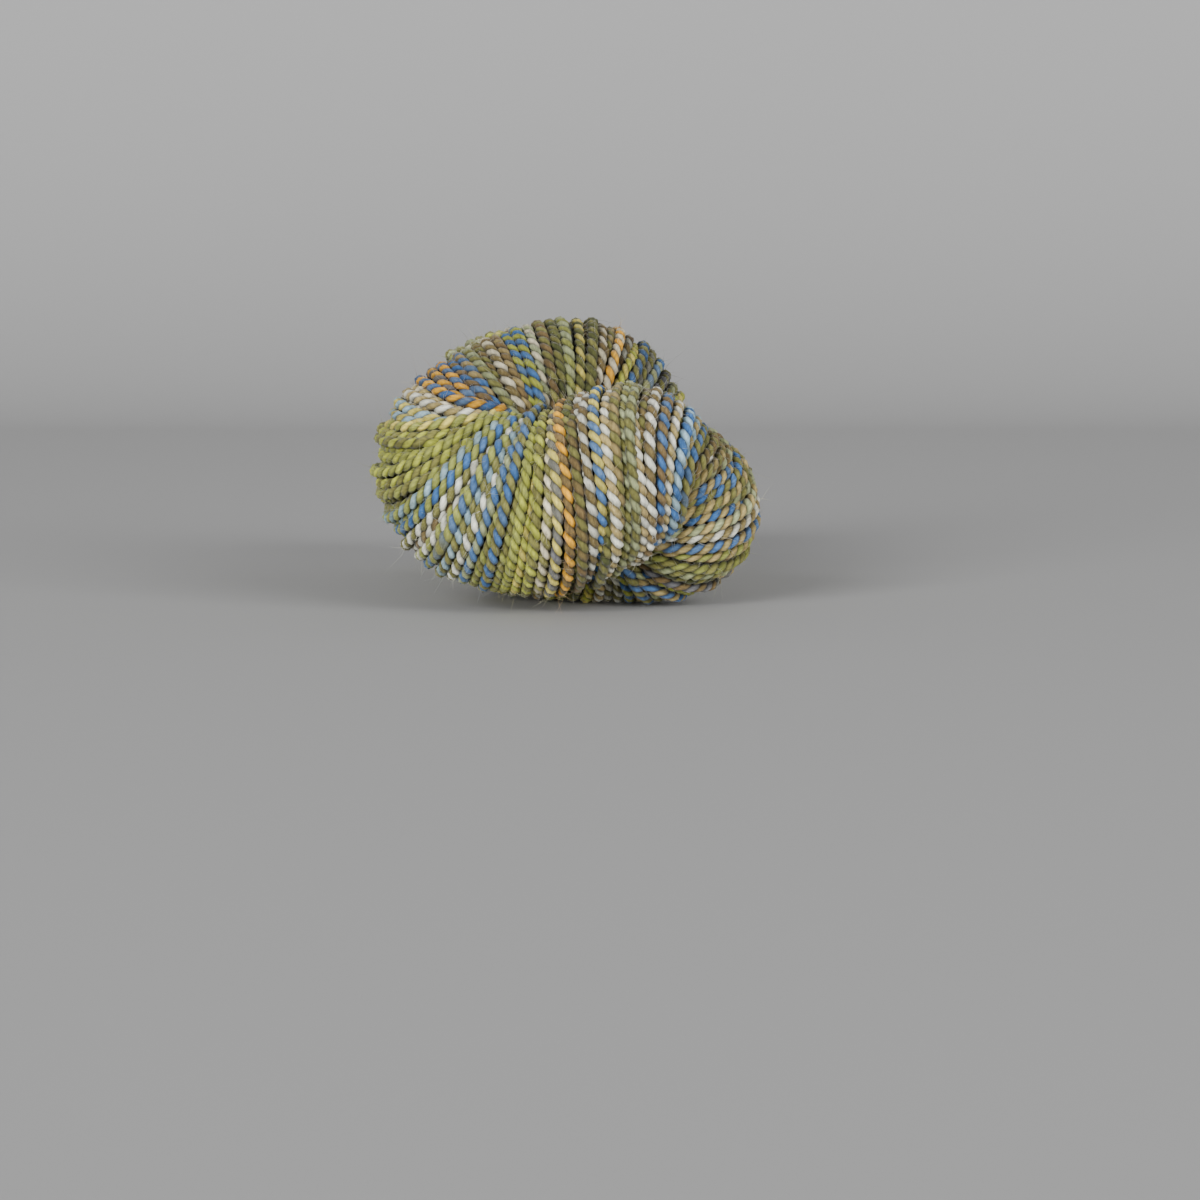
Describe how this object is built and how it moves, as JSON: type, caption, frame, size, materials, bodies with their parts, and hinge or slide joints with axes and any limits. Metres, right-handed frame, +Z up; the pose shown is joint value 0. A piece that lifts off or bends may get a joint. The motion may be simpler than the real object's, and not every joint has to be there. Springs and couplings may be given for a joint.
{
  "type": "twisted yarn hank",
  "caption": "Hank of thick marled plied yarn, its strands twisted into one bundle that is folded in half and wound round itself, lying on its side.",
  "frame": {"origin": "middle of the hank's box at the height of the surface it rests on", "axes": "+Y along the hank from the front fold to the far fold, +Z up, +X to the right as seen from the front fold"},
  "size_m": [0.0918, 0.2034, 0.0688],
  "materials": {
    "yarn": "matt plied wool, marled in olive, lime, sage, cream, tan, gold and blue"
  },
  "bodies": {
    "root": {"hank": "yarn"}
  },
  "joints": []
}
